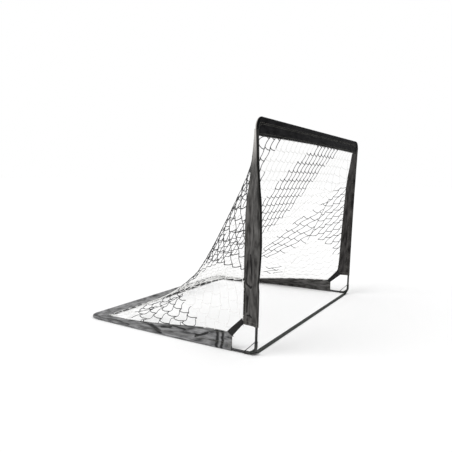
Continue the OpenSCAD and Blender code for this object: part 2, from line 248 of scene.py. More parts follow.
# Where the middles of the poles lie at the front corners, the rear and the crossbar
X_BASE = -middle_of("elbow_left")[0]
Y_REAR, Z_BASE = middle_of("rear_pole_left")[1:]
Y_FRONT, Z_TOP = middle_of("crossbar_pole_left")[1:]
ELBOW_R = 0.040
SOCKET_L, SOCKET_R = 0.015, 0.0089
HOSE_R, HOSE_BORE = 0.0084, 0.00732
HOSE_RINGS, BORE_RINGS, HOSE_SIDES = 40, 12, 28
RIB, RING_PITCH = 0.0001, 0.001
SAME_POINT = 0.00001
# How far from its open end a socket has which radius
SOCKET = ((0.0, HOSE_BORE), (0.0, HOSE_R), (0.0006, SOCKET_R), (0.0028, SOCKET_R),
          (0.0036, 0.0086), (0.0130, 0.0086), (SOCKET_L, HOSE_R))

rubber = Finish("elbow_rubber", Specular_IOR_Level=0.4)
grime = rubber.speckle(rubber.place(), scale=90, detail=4)
rubber.feed("Base Color", rubber.blend_colour(grime, (0.012, 0.012, 0.012), (0.036, 0.035, 0.033)))
rubber.feed("Roughness", 0.46 + grime * 0.22)
rubber.bump(rubber.speckle(rubber.place(), scale=1500, detail=2), 0.00008)


def lay_grid(columns, rows, place, closed=0.0):
    """A grid whose point in column i and row j is laid where place(i, j) says, with its
    UV in metres. Points nearer than closed are then one."""
    mesh = bmesh.new()
    grid = bmesh.ops.create_grid(mesh, x_segments=columns, y_segments=rows, size=1)["verts"]
    chart = {}
    for point in grid:
        i, j = round((point.co.x + 1) / 2 * columns), round((point.co.y + 1) / 2 * rows)
        spot, chart[point] = place(i, j)
        point.co = spot
    uv = mesh.loops.layers.uv.verify()
    for face in mesh.faces:
        for corner in face.loops:
            corner[uv].uv = chart[corner.vert]
    if closed:
        bmesh.ops.remove_doubles(mesh, verts=mesh.verts, dist=closed)
        bmesh.ops.dissolve_degenerate(mesh, edges=mesh.edges, dist=closed)
    return mesh


def keep(mesh, name, finish):
    """The finished mesh as a smooth piece."""
    bmesh.ops.recalc_face_normals(mesh, faces=mesh.faces)
    data = bpy.data.meshes.new(name)
    mesh.to_mesh(data)
    mesh.free()
    data.materials.append(finish.material)
    data.polygons.foreach_set("use_smooth", [True] * len(data.polygons))
    piece = bpy.data.objects.new(name, data)
    bpy.context.scene.collection.objects.link(piece)
    return piece


def bend_centre(angle):
    """A point on the line of the elbow's bend, angle up from the side pole."""
    back = Y_FRONT + ELBOW_R * (1 - math.sin(angle))
    return Vector((0, back, Z_BASE + ELBOW_R * (1 - math.cos(angle))))


def bend_travel(angle):
    return Vector((0, -math.cos(angle), math.sin(angle)))


def elbow_rings():
    """Centre, travel and radius of each ring, from the side pole's socket round to the
    post's, and back through the bore."""
    rings = []
    for run, radius in SOCKET:
        rings.append((bend_centre(0) + (SOCKET_L - run) * BACK, -BACK, radius))
    for i in range(1, HOSE_RINGS):
        angle = math.pi / 2 * i / HOSE_RINGS
        rings.append((bend_centre(angle), bend_travel(angle), HOSE_R + RIB * math.cos(math.pi * i)))
    for run, radius in reversed(SOCKET):
        rings.append((bend_centre(math.pi / 2) + (SOCKET_L - run) * UP, UP, radius))
    for i in range(BORE_RINGS, -1, -1):
        angle = math.pi / 2 * i / BORE_RINGS
        rings.append((bend_centre(angle), bend_travel(angle), HOSE_BORE))
    return rings + rings[:1]


def tube_grid(rings, x):
    def place(i, j):
        centre, travel, radius = rings[j]
        turn = 2 * math.pi * i / HOSE_SIDES
        spoke = math.cos(turn) * ACROSS + math.sin(turn) * travel.cross(ACROSS)
        return centre + x * ACROSS + radius * spoke, (turn * radius, RING_PITCH * j)
    return lay_grid(HOSE_SIDES, len(rings) - 1, place, closed=SAME_POINT)


for side, hand in (("left", -1), ("right", 1)):
    x = hand * X_BASE
    hose = keep(tube_grid(elbow_rings(), x), f"hose_elbow_{side}", rubber)
    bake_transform(hose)
    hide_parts(f"elbow_{side}")


# ---------------------------------------------------------------- Cords across the elbows
# A cord twisted of three plies is whipped round each post and each side pole and keeps the
# two from opening past a right angle. It goes slack when the mouth frame folds down.
REACH = 0.062  # from the corner of the poles' middles to the middle of each whipping
PLIES, PLY_R, PLY_LAY = 3, 0.00115, 0.00105
CORD_TURNS, CORD_STEPS = 8, 90
CORD_OFF, CORD_IN = 0.0075, 0.0005  # where the cord leaves a whipping
WHIP_R, WHIP_PITCH, WHIP_TURNS, WHIP_STEPS = 0.0080, 0.0017, 4, 112

cord_finish = Finish("elbow_cord", Specular_IOR_Level=0.3)
fuzz = cord_finish.speckle(cord_finish.place(), scale=700, detail=3)
cord_finish.feed("Base Color", cord_finish.blend_colour(fuzz, (0.004, 0.004, 0.004), (0.035, 0.035, 0.034)))
cord_finish.feed("Roughness", 0.6 + fuzz * 0.3)
cord_finish.bump(fuzz, 0.0002)


def twine(name, lines, radius, finishes, sides=2):
    """Round strands as one mesh, each from its points, its finish's number and, where it
    isn't even, the share of the radius at every point."""
    curve = bpy.data.curves.new(name, "CURVE")
    curve.dimensions = "3D"
    curve.bevel_depth = radius
    curve.bevel_resolution = sides
    curve.use_fill_caps = True
    for finish in finishes:
        curve.materials.append(finish.material)
    for points, number, widths in lines:
        spline = curve.splines.new("POLY")
        spline.points.add(len(points) - 1)
        spline.points.foreach_set("co", [c for p in points for c in (*p, 1.0)])
        spline.points.foreach_set("radius", widths or [1.0] * len(points))
        spline.material_index = number
        spline.use_smooth = True
    strands = bpy.data.objects.new(name, curve)
    bpy.context.scene.collection.objects.link(strands)
    data = bpy.data.meshes.new_from_object(strands)
    bpy.data.objects.remove(strands)
    data.name = name
    piece = bpy.data.objects.new(name, data)
    bpy.context.scene.collection.objects.link(piece)
    return piece


def fold_down(piece):
    """Bakes the piece's transform into its mesh and reads out its points, which are left
    where they are."""
    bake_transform(piece)
    at = np.zeros(len(piece.data.vertices) * 3)
    piece.data.vertices.foreach_get("co", at)
    at = at.reshape(-1, 3)


def twisted(start, end):
    """The plies of a cord twisted round the straight line from start to end."""
    travel = (end - start).normalized()
    one = travel.orthogonal().normalized()
    two = travel.cross(one)
    lines = []
    for k in range(PLIES):
        points = []
        for i in range(CORD_STEPS + 1):
            turn = 2 * math.pi * (CORD_TURNS * i / CORD_STEPS + k / PLIES)
            middle_point = start.lerp(end, i / CORD_STEPS)
            points.append(middle_point + PLY_LAY * (math.cos(turn) * one + math.sin(turn) * two))
        lines.append((points, 0, None))
    return lines


def whipping(centre, travel):
    """Turns of cord wound round a pole, as one line."""
    points = []
    for i in range(WHIP_STEPS + 1):
        turn = 2 * math.pi * WHIP_TURNS * i / WHIP_STEPS
        run = WHIP_PITCH * WHIP_TURNS * (i / WHIP_STEPS - 0.5)
        spoke = math.cos(turn) * ACROSS + math.sin(turn) * travel.cross(ACROSS)
        points.append(centre + run * travel + WHIP_R * spoke)
    return points, 0, None


for side, hand in (("left", -1), ("right", 1)):
    x = hand * X_BASE
    high, low = Vector((x, Y_FRONT, Z_BASE + REACH)), Vector((x, Y_FRONT + REACH, Z_BASE))
    lines = twisted(high + Vector((0, CORD_OFF, -CORD_IN)), low + Vector((0, -CORD_IN, CORD_OFF)))
    lines += [whipping(high, UP), whipping(low, BACK)]
    cord = twine(f"cord_elbow_{side}", lines, PLY_R, [cord_finish])
    fold_down(cord)
    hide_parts(f"elbow_cord_{side}")


# ---------------------------------------------------------------- Bands
# Each band is one strip of black woven nylon. It is folded round its pole, sewn to itself
# with two rows of thread, and its wide flap ends in a stitched hem that holds the net.
TOP_R, REAR_R = 0.050, 0.070  # the bends of the top and rear corners
POST_SPLAY, REAR_INSET = 0.065, 0.035  # how far the posts lean out and the sides run in
BARE = 0.152  # the bare pole at a front corner
FLAP = 0.0871  # from the pole's middle to the hem
TUNNEL_R, SEW, LAP = 0.0083, 0.0180, 0.014  # the seam lies SEW from the pole's middle
CLOTH, LAP_UNDER, FLAP_OVER = 0.0009, 0.0007, 0.0006  # its thickness, and where its layers lie
MITRE_CLEAR = 0.0025  # from a bend's centre to the inner end of a rounded flap
HEM_CORNER = 0.0395  # how far out from the bend's centre the crossbar band's hem starts
BAR_RISE = 0.007  # how much higher the crossbar's hem is in the middle
POST_STEPS, SIDE_STEPS, BAR_STEPS, REAR_STEPS = 150, 130, 96, 90
TOP_BEND_STEPS, REAR_BEND_STEPS = 24, 10

POST_RISE = Z_TOP - TOP_R - (Z_BASE + ELBOW_R)
LEAN = 2 * math.atan(POST_SPLAY / POST_RISE)
POST_R = POST_RISE / math.sin(LEAN) - TOP_R
TOP_TURN = math.pi / 2 + LEAN
TOP_X, TOP_CZ = X_BASE + POST_SPLAY - TOP_R, Z_TOP - TOP_R
SIDE_RUN = Y_REAR - REAR_R - (Y_FRONT + ELBOW_R)
BOW = 2 * math.atan(REAR_INSET / SIDE_RUN)
SIDE_R = SIDE_RUN / math.sin(BOW) + REAR_R
REAR_TURN = math.pi / 2 - BOW
REAR_MITRE = (BOW + math.pi / 2) / 2
REAR_X, REAR_CY = X_BASE - REAR_INSET - REAR_R, Y_REAR - REAR_R


def mix(a, b, t):
    return a + (b - a) * t


def mitre_run(radius, turn):
    return (FLAP - (radius - MITRE_CLEAR)) * math.tan(turn / 2)


def leaning(a):
    return Vector((math.cos(a), 0, -math.sin(a)))


def bowing(b):
    return Vector((math.cos(b), math.sin(b), 0))


POST_A0 = math.asin((BARE - Z_BASE - ELBOW_R) / POST_R)
SIDE_B0 = math.asin((BARE - Z_BASE - ELBOW_R) / SIDE_R)
SIDE_B1 = BOW - mitre_run(REAR_R, REAR_TURN) / SIDE_R
BAR_X = TOP_X - mitre_run(TOP_R, TOP_TURN)
REAR_BAR_X = REAR_X - mitre_run(REAR_R, REAR_TURN)

# How far each post band's flap is turned in from straight back, in degrees, on its way up
TURN_LEFT = ((0, 0.35, 0.6, 0.7, 0.8, 0.9, 1), (8, 10, 17, 30, 40, 49, 56))
TURN_RIGHT = ((0, 0.1, 0.5, 0.75, 0.85, 1), (12, 40, 55, 64, 75, 86))
TURN_EASE = (-0.04, -0.02, 0, 0.02, 0.04)
# A side band's flap leans in by 4 degrees at the front and by 90, which is flat, at the
# rear. The left one slumps late and the right one evenly
SIDE_LEAN = (4, 90)
SLUMP_LEFT, SLUMP_RIGHT = 2.0, 1.08


def post_station(t, turns):
    """Centre, travel, flap direction and end of the flap up a post, t from 0 to 1."""
    a = mix(POST_A0, LEAN, t)
    turn = math.radians(sum(np.interp(t + k, *turns) for k in TURN_EASE) / len(TURN_EASE))
    centre = Vector((X_BASE + POST_R, Y_FRONT, Z_BASE + ELBOW_R)) - POST_R * leaning(a)
    travel = Vector((math.sin(a), 0, math.cos(a)))
    out = math.cos(turn) * BACK - math.sin(turn) * leaning(a)
    return centre, travel, out, centre + FLAP * out


def side_station(t, slump):
    """The same back along a side: the flap stands at the front and comes to lie flat."""
    b = mix(SIDE_B0, SIDE_B1, t)
    lean = math.radians(SIDE_LEAN[1] - (SIDE_LEAN[1] - SIDE_LEAN[0]) * (1 - t) ** slump)
    centre = Vector((X_BASE - SIDE_R, Y_FRONT + ELBOW_R, Z_BASE)) + SIDE_R * bowing(b)
    travel = Vector((-math.sin(b), math.cos(b), 0))
    out = math.cos(lean) * UP - math.sin(lean) * bowing(b)
    return centre, travel, out, centre + FLAP * out


def top_station(t):
    """Round a top corner: the crossbar band's flap runs square up to the post."""
    a = mix(LEAN, -math.pi / 2, t)
    centre = Vector((TOP_X, Y_FRONT, TOP_CZ)) + TOP_R * leaning(a)
    end = Vector((mix(TOP_X + HEM_CORNER, BAR_X, t ** 0.8), Y_FRONT, Z_TOP - FLAP))
    return centre, Vector((math.sin(a), 0, math.cos(a))), -leaning(a), end


def bar_station(t):
    """From a top corner to the middle of the crossbar."""
    depth = FLAP - BAR_RISE * (1 - (1 - t) ** 2)
    centre = Vector((mix(TOP_X, 0, t), Y_FRONT, Z_TOP))
    return centre, -ACROSS, -UP, Vector((mix(BAR_X, 0, t), Y_FRONT, Z_TOP - depth))


def rear_station(b):
    """Round a rear corner, b the angle of its bend."""
    centre = Vector((REAR_X, REAR_CY, Z_BASE)) + REAR_R * bowing(b)
    end = centre - (REAR_R - MITRE_CLEAR) * bowing(b)
    return centre, Vector((-math.sin(b), math.cos(b), 0)), -bowing(b), end


def rear_bar_station(t):
    """From a rear corner to the middle of the rear pole."""
    centre = Vector((mix(REAR_BAR_X, 0, t), Y_REAR, Z_BASE))
    return centre, -ACROSS, -BACK, centre - FLAP * BACK


def steps(count):
    return [i / count for i in range(count + 1)]


def flip(v):
    return Vector((-v.x, v.y, v.z))


def mirrored(station):
    centre, travel, out, end = station
    return flip(centre), -flip(travel), flip(out), flip(end)


post_stations = {"left": [mirrored(post_station(t, TURN_LEFT)) for t in steps(POST_STEPS)],
                 "right": [post_station(t, TURN_RIGHT) for t in steps(POST_STEPS)]}
round_back = [rear_station(mix(BOW, REAR_MITRE, t)) for t in steps(REAR_BEND_STEPS)]
side_stations = {
    "left": [mirrored(s) for s in [side_station(t, SLUMP_LEFT) for t in steps(SIDE_STEPS)] + round_back],
    "right": [side_station(t, SLUMP_RIGHT) for t in steps(SIDE_STEPS)] + round_back,
}
half_bar = [top_station(t) for t in steps(TOP_BEND_STEPS)[:-1]] + [bar_station(t) for t in steps(BAR_STEPS)]
half_rear = [rear_station(mix(REAR_MITRE, math.pi / 2, t)) for t in steps(REAR_BEND_STEPS)]
half_rear += [rear_bar_station(t) for t in steps(REAR_STEPS)]
bar_stations = half_bar + [mirrored(s) for s in half_bar[-2::-1]]
rear_stations = half_rear + [mirrored(s) for s in half_rear[-2::-1]]

# The cloth's section: lap, tunnel and flap, each with its steps and its width of cloth
TANGENT = math.acos(TUNNEL_R / SEW)
LAP_STEPS, TUNNEL_STEPS, FLAP_STEPS = 2, 18, 18
CLOTH_STEPS = LAP_STEPS + TUNNEL_STEPS + 1 + FLAP_STEPS
TUNNEL_WIDTH = 2 * SEW * math.sin(TANGENT) + 2 * (math.pi - TANGENT) * TUNNEL_R
SEW_AT = LAP + TUNNEL_WIDTH
HEM_AT = SEW_AT + FLAP - SEW
# How long the puckers, the slow folds and the fine folds are, and how deep beside the rest
PUCKER_RUN, SLOW_RUN, FINE_RUN = 0.011, 0.075, 0.022
PUCKER, SLOW, FINE = 0.07, 1.1, 0.45


def section(i):
    """How far out along the flap and across it the cloth's point i lies, where it is on
    the width of the strip, the angle round the tunnel, and the share of the flap."""
    if i <= LAP_STEPS:
        return SEW + LAP * (1 - i / LAP_STEPS), -LAP_UNDER, LAP * i / LAP_STEPS, None, -1
    if i <= LAP_STEPS + TUNNEL_STEPS:
        k = (i - LAP_STEPS - 0.5) / (TUNNEL_STEPS - 0.5)
        turn = -TANGENT - 2 * (math.pi - TANGENT) * k
        return TUNNEL_R * math.cos(turn), TUNNEL_R * math.sin(turn), LAP + TUNNEL_WIDTH * k, turn, -1
    k = (i - LAP_STEPS - 1 - TUNNEL_STEPS) / FLAP_STEPS
    return SEW, FLAP_OVER * (1 - k), SEW_AT + k * (FLAP - SEW), None, k


def ripple(x, y, seed):
    return noise.noise(Vector((x, y, seed)))


def wall(piece, thickness):
    modifier = piece.modifiers.new("Solidify", "SOLIDIFY")
    modifier.thickness = thickness
    modifier.offset = 0


def band(name, stations, finish, seed, rumple, slack=((0, 1), (0, 0)), start=0.0):
    """One band of cloth over its stations, and its flat width and length. Slack is how far
    its tunnel hangs off the pole at which places along it."""
    runs = [start]
    for a, b in zip(stations, stations[1:]):
        runs.append(runs[-1] + (b[0] - a[0]).length)

    def place(i, j):
        centre, travel, out, end = stations[j]
        cross = travel.cross(out).normalized()
        d, e, width, turn, share = section(i)
        run = runs[j]
        if turn is not None:
            pucker = 1 + PUCKER * max(0, ripple(run / PUCKER_RUN, turn * 1.3, seed + 9))
            d, e = d * pucker, e * pucker
            d -= float(np.interp(run, *slack)) * ((1 - math.cos(turn)) / 2) ** 1.5
        if share >= 0:
            hump = math.sin(math.pi * min(1, share * 1.06)) ** 0.7 * 0.9 + 0.1 * share
            slow = ripple(run / SLOW_RUN + share * 0.9, share * 1.1, seed)
            fine = ripple(run / FINE_RUN - share * 1.3, share * 2.2, seed + 5)
            e += rumple * hump * (SLOW * slow + FINE * fine)
        spot = centre + d * out
        if share > 0:
            spot = mix(spot, end, share)
        return spot + e * cross, (width, run)
    piece = keep(lay_grid(CLOTH_STEPS, len(stations) - 1, place), name, finish)
    wall(piece, CLOTH)
    return piece, HEM_AT, runs[-1] - start


# Rows of stitching run along the band at these places across it, and across it at these
# places along it
SEAMS_ALONG = (SEW_AT + 0.0015, SEW_AT + 0.0095, HEM_AT - 0.0035, HEM_AT - 0.0135)
SEAMS_ACROSS = (0.0045, 0.0190)
STITCH, STITCH_GAP, WEAVE = 0.0042, -0.35, 0.0010
THREAD_R, END_THREAD_R = 0.0006, 0.0008
# The stitching thread's own colour, then the colours of the painted shade in creases and on the front of a
# tunnel
THREAD_COLOUR, CREASE_SHADE_COLOUR, FRONT_SHADE_COLOUR = (0.20, 0.195, 0.17), (0.008, 0.008, 0.008), (0.003, 0.003, 0.003)
# The front of a tunnel that gets painted shade, across the band, and from where along it the painted shade is
# darkest
FRONT_FROM, FRONT_TO, FRONT_SHADE_DARKEST = LAP + 0.30 * TUNNEL_WIDTH, SEW_AT - 0.002, 0.23


def crease(across, along, start, end, wide):
    """1 on the line from start to end, each as metres along and across, 0 beyond wide."""
    (a0, c0), (a1, c1) = start, end
    length = math.hypot(a1 - a0, c1 - c0)
    ahead, aside = (a1 - a0) / length, (c1 - c0) / length
    run = (along - a0) * ahead + (across - c0) * aside
    off = ((along - a0) * aside - (across - c0) * ahead).size()
    past = ((run - length / 2).size() - length / 2).either(0.0)
    return (1 - (off + past) * (1 / wide)).either(0.0)


def woven(name, dark, light, gleam=0.10, index=1.45, creases=(), shaded_front=False, lit=None):
    """Black nylon with its weave and its rows of stitching, its tone going with a dust noise
    from dark to light, where dark and light carry the band's painted light level. Creases
    and the front of a tunnel can get painted shade. Lit is a stretch along the band that gets
    a painted highlight: where it starts and ends, up to which width, and its colour."""
    finish = Finish(name, Specular_IOR_Level=gleam, IOR=index)
    chart, across, along = finish.across_along()
    dust = finish.speckle(finish.node("Mapping", i0=chart, Scale=(34, 7, 1)), scale=1.6, detail=6)
    lint = finish.speckle(finish.place(), scale=420, detail=3)
    weave = across.wave(WEAVE) * along.wave(WEAVE)
    dashes = along.wave(STITCH).above(STITCH_GAP)
    rows = [(across - seam).size().below(THREAD_R) * dashes for seam in SEAMS_ALONG]
    dashes = across.wave(STITCH).above(STITCH_GAP)
    rows += [(along - seam).size().below(END_THREAD_R) * dashes for seam in SEAMS_ACROSS]
    thread = reduce(Signal.either, rows)
    height = weave * 0.25 + lint * 0.35 + dust * 6.0 + thread * 1.4

    tone = finish.node("MapRange", Value=dust, From_Min=0.36, From_Max=0.64)
    colour = finish.blend_colour(tone, dark, light)
    # A painted highlight on a stretch along the band
    if lit:
        start, end, width, painted_highlight = lit
        share = finish.node("MapRange", Value=along + dust * 0.06, From_Min=start, From_Max=end)
        colour = finish.blend_colour(share * across.below(width), colour, painted_highlight)
    # Painted shade along the creases, which are also pressed into the bump
    if creases:
        astray, ahead = across + (dust - 0.5) * 0.016, along + (dust - 0.5) * 0.03
        folds = reduce(Signal.either, [crease(astray, ahead, *line) for line in creases])
        deep = finish.node("MapRange", Value=folds, From_Min=0.0, From_Max=0.6)
        colour = finish.blend_colour(deep * 0.93, colour, CREASE_SHADE_COLOUR)
        height = height - folds * 8.0
    # Painted shade on the front of the tunnel, darker further along the band
    if shaded_front:
        front = across.above(FRONT_FROM) * across.below(FRONT_TO)
        front_shade = front * (0.45 + along.above(FRONT_SHADE_DARKEST) * 0.5)
        colour = finish.blend_colour(front_shade, colour, FRONT_SHADE_COLOUR)
    finish.feed("Base Color", finish.blend_colour(thread, colour, THREAD_COLOUR))
    finish.feed("Roughness", 0.34 + dust * 0.2 + lint * 0.08 + thread * 0.2)
    finish.bump(height, 0.00035)
    return finish


# How far the left post band hangs off its pole at which places along it
LEFT_SLACK = ((0, 0.19, 0.21, 0.23, 0.26, 0.32, 0.42, 0.66, 0.76, 0.86),
              (0.002, 0.003, 0.0, 0.0, 0.004, 0.010, 0.017, 0.017, 0.008, 0))
RIGHT_SLACK = ((0, 1), (0, 0.001))
# Where each crease starts and ends, as metres along and across, and how wide it is
SIDE_CREASES = (
    ((0.975, 0.072), (0.867, 0.092), 0.013), ((0.867, 0.092), (0.720, 0.069), 0.012),
    ((0.700, 0.142), (0.590, 0.125), 0.007), ((0.611, 0.128), (0.470, 0.062), 0.018),
    ((0.506, 0.115), (0.443, 0.124), 0.013), ((0.440, 0.138), (0.330, 0.118), 0.008),
    ((0.248, 0.090), (0.169, 0.120), 0.010), ((0.105, 0.138), (0.086, 0.050), 0.013),
    ((0.068, 0.138), (0.058, 0.050), 0.013),
)
POST_CREASES = (
    ((0.345, 0.090), (0.250, 0.073), 0.008), ((0.375, 0.108), (0.270, 0.095), 0.006),
    ((0.340, 0.124), (0.225, 0.134), 0.006), ((0.235, 0.148), (0.205, 0.110), 0.007),
    ((0.205, 0.110), (0.215, 0.070), 0.009), ((0.195, 0.139), (0.050, 0.147), 0.007),
    ((0.150, 0.120), (0.070, 0.128), 0.005), ((0.052, 0.125), (0.046, 0.066), 0.007),
    ((0.860, 0.098), (0.620, 0.080), 0.007),
)
# Each band has its own copy of the one black nylon, and their dark and light tones differ by painted light
# and shade. The left post and the side and rear bands on the ground are painted lighter, as lamp and white
# surround light them and give them sheen. The crossbar, which faces away from the light, is darkest. The lit
# stretches are painted highlights.
cloth = woven("band_cloth", (0.002, 0.002, 0.0025), (0.014, 0.014, 0.015), gleam=0.03, index=1.25,
              lit=(1.86, 1.92, LAP + 0.48 * TUNNEL_WIDTH, (0.40, 0.385, 0.37)))
left_post_painted_light_cloth = woven("band_cloth_post_left_painted_light", (0.022, 0.021, 0.020), (0.112, 0.108, 0.104), gleam=0.08,
                   creases=POST_CREASES, shaded_front=True, lit=(0.86, 1.0, 1.0, (0.44, 0.42, 0.40)))
right_post_painted_light_cloth = woven("band_cloth_post_right_painted_light", (0.010, 0.009, 0.009), (0.064, 0.060, 0.058), gleam=0.08)
near_side_painted_light_cloth = woven("band_cloth_near_painted_light", (0.046, 0.046, 0.047), (0.270, 0.270, 0.274), creases=SIDE_CREASES)
far_side_painted_light_cloth = woven("band_cloth_far_painted_light", (0.022, 0.021, 0.020), (0.125, 0.121, 0.118))
rear_painted_light_cloth = woven("band_cloth_rear_painted_light", (0.055, 0.055, 0.056), (0.340, 0.340, 0.345))

for side, hand, post_cloth, slack, side_cloth in (("left", -1, left_post_painted_light_cloth, LEFT_SLACK, near_side_painted_light_cloth),
                                                  ("right", 1, right_post_painted_light_cloth, RIGHT_SLACK, far_side_painted_light_cloth)):
    piece, width, length = band(f"post_band_{side}", post_stations[side], post_cloth,
                                seed=3 + hand, rumple=0.0022, slack=slack)
    fold_down(piece)
    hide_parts(f"post_sleeve_{side}")
    piece, width, length = band(f"side_band_{side}", side_stations[side], side_cloth,
                                seed=13 + hand, rumple=0.0036)
    fold_down(piece)
    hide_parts(f"base_sleeve_{side}")
piece, width, length = band("crossbar_band", bar_stations, cloth, seed=21, rumple=0.0012, start=0.1)
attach(piece, "front_frame")
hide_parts("crossbar_sleeve")
piece, width, length = band("rear_band", rear_stations, rear_painted_light_cloth, seed=31, rumple=0.0032, start=0.1)
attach(piece, "base_frame")
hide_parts("rear_sleeve")


# ---------------------------------------------------------------- Webbing at the corners
# A length of ribbed webbing is sewn from the lower end of each post band to the front end
# of the side band, and pulls the two bands together across the bare poles.
STRIP_W, STRIP_L, WEBBING = 0.030, 0.16, 0.0018
TUCK, TUCK_SHARE = 0.012, 0.15  # how far each end runs on over its band, and its share
HEM_OVER = 0.002
STRIP_SAG, STRIP_WAVE = 0.004, 0.0012
STRIP_COLUMNS, STRIP_ROWS = 8, 30
# How far the strip stands off the hems, how far its near edge starts in from the post's
# hem and from the side's, and at which station of the side band its far edge ends
STRIP_ENDS = {"left": (0.0026, 0.004, 0.018, 5), "right": (0.0060, 0.024, 0.014, 3)}
POST_END = 5


def ribbed(name, dark, light):
    """Woven webbing with ribs across it."""
    finish = Finish(name, Specular_IOR_Level=0.2)
    _, across, along = finish.across_along()
    ribs = along.wave(0.0022)
    wear = finish.speckle(finish.place(), scale=60, detail=4)
    finish.feed("Base Color", finish.blend_colour(wear * 0.5 + ribs * 0.25, dark, light))
    finish.feed("Roughness", 0.52 + wear * 0.2)
    finish.bump(ribs + across.wave(0.0015) * 0.4, 0.0003)
    return finish


corner_finish = ribbed("webbing_corner", (0.006, 0.006, 0.006), (0.030, 0.030, 0.030))
strap_finish = ribbed("webbing_strap", (0.014, 0.018, 0.015), (0.050, 0.058, 0.052))


def strip_end(stations, inset, far_station):
    """The near and the far edge of the strip on a band's hem, and the way along the band."""
    centre, travel, out, _ = stations[0]
    far, _, hem, _ = stations[far_station]
    return centre + (FLAP - inset) * out, far + (FLAP + HEM_OVER) * hem, travel


for side, hand in (("left", -1), ("right", 1)):
    proud, post_inset, side_inset, side_end = STRIP_ENDS[side]
    ends = (strip_end(post_stations[side], post_inset, POST_END),
            strip_end(side_stations[side], side_inset, side_end))

    def place(i, j):
        s, t = i / STRIP_COLUMNS, j / STRIP_ROWS
        on_post, on_side = (mix(near, far, s) for near, far, _ in ends)
        if t < TUCK_SHARE:
            spot = on_post + TUCK * (1 - t / TUCK_SHARE) * ends[0][2]
        elif t > 1 - TUCK_SHARE:
            spot = on_side + TUCK * (t - 1 + TUCK_SHARE) / TUCK_SHARE * ends[1][2]
        else:
            spot = mix(on_post, on_side, (t - TUCK_SHARE) / (1 - 2 * TUCK_SHARE))
        sag = STRIP_SAG * math.sin(math.pi * t) + STRIP_WAVE * ripple(t * 3, s, 5 + hand)
        return spot - (proud + sag * math.sin(math.pi * t)) * ACROSS, (s * STRIP_W, t * STRIP_L)
    strip = keep(lay_grid(STRIP_COLUMNS, STRIP_ROWS, place), f"corner_strip_{side}", corner_finish)
    wall(strip, WEBBING)
    fold_down(strip)
    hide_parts(f"corner_webbing_{side}")


# ---------------------------------------------------------------- Webbing across the mouth
# A flat strap lies on the ground from elbow to elbow and keeps the base from spreading.
# Each end is looped round the elbow's hose and sewn back on itself.
STRAP_W = 0.028
STRAP_MID = math.radians(15) + STRAP_W / ELBOW_R / 2  # how far up the bend it is looped
STRAP_Y = Y_FRONT + ELBOW_R * (1 - math.sin(STRAP_MID))
STRAP_LANDS = 0.05  # how far from the loop it lies on the ground
STRAP_RISE, STRAP_WAVE = 0.00136, 0.00042
LOOP_R, LOOP_TURN = HOSE_R + 0.0013, math.radians(-290)
STRAP_COLUMNS, LOOP_STEPS, FLAT_STEPS = 10, 26, 90
STRAP_STEPS = FLAT_STEPS + 2 * LOOP_STEPS


def strap_place(i, j):
    """Across the strap i, and along it j: from the loop on the left to that on the right."""
    s = i / STRAP_COLUMNS - 0.5
    hand = -1 if j < STRAP_STEPS / 2 else 1
    k = j if hand < 0 else STRAP_STEPS - j
    angle = STRAP_MID - s * STRAP_W / ELBOW_R
    outward = bend_travel(angle).cross(ACROSS)
    if k < LOOP_STEPS:
        turn = mix(LOOP_TURN, 0, k / LOOP_STEPS)
        spot = bend_centre(angle) + LOOP_R * (math.sin(turn) * ACROSS - math.cos(turn) * outward)
        spot.x += X_BASE
    else:
        x = mix(X_BASE, 0, (k - LOOP_STEPS) / (FLAT_STEPS / 2))
        lie = min(1, (X_BASE - x) / STRAP_LANDS)
        lie = lie * lie * (3 - 2 * lie)
        rise = STRAP_RISE + STRAP_WAVE * (1 + ripple(x / 0.09, s * 0.6, 40))
        on_ground = Vector((0, STRAP_Y + s * STRAP_W, rise))
        spot = mix(bend_centre(angle) - LOOP_R * outward, on_ground, lie)
        spot.x = x
    return (spot if hand > 0 else flip(spot)), (s * STRAP_W, hand * k * 0.01)


strap = keep(lay_grid(STRAP_COLUMNS, STRAP_STEPS, strap_place), "ground_strap", strap_finish)
wall(strap, WEBBING)
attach(strap, "base_frame")
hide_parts("front_strap")


# ---------------------------------------------------------------- Net
# A knotless honeycomb net of braided twine, knitted in black and white groups that run
# across it. It is sewn to the hems of all the bands and sags between them.
ROWS, MESH = 23, 0.0683
TWINE_R, WHITE_SHARE = 0.0020, 0.78  # the white twine shows thinner
EDGE = FLAP - 0.004
POST_SHARE = 0.62  # how much of the net's edge is on the post band
TOP_SKIP = 6  # the net leaves the post band this many stations below its top
STRAIGHT = 0.76  # the share of the fall in its middle that is straight
TAUT, TAUT_TOP = 7.7, 13.4  # how soon the sheet flattens in from its edge, and more at the top

black = Finish("twine_black", Specular_IOR_Level=0.35)
white = Finish("twine_white", Specular_IOR_Level=0.35)
for finish, dark, light in ((black, (0.010, 0.010, 0.011), (0.05, 0.05, 0.052)),
                            (white, (0.84, 0.835, 0.82), (0.93, 0.93, 0.92))):
    braid = finish.speckle(finish.place(), scale=900, detail=2)
    soil = finish.speckle(finish.place(), scale=7, detail=4)
    finish.feed("Base Color", finish.blend_colour(braid * 0.5 + soil * 0.5, dark, light))
    finish.feed("Roughness", 0.62 + braid * 0.2)
    finish.bump(braid, 0.0003)

net_top = np.array([TOP_X - (EDGE - TOP_R) * math.tan(TOP_TURN / 2), Y_FRONT, Z_TOP - EDGE])
net_rear = np.array([REAR_X - (EDGE - REAR_R) * math.tan(REAR_TURN / 2), Y_REAR - EDGE, Z_BASE])


def lengths(line, start, end):
    """How far along the line each of its points is, from start to end."""
    run = np.concatenate([[0], np.cumsum(np.linalg.norm(np.diff(line, axis=0), axis=1))])
    return start + (end - start) * run / run[-1]


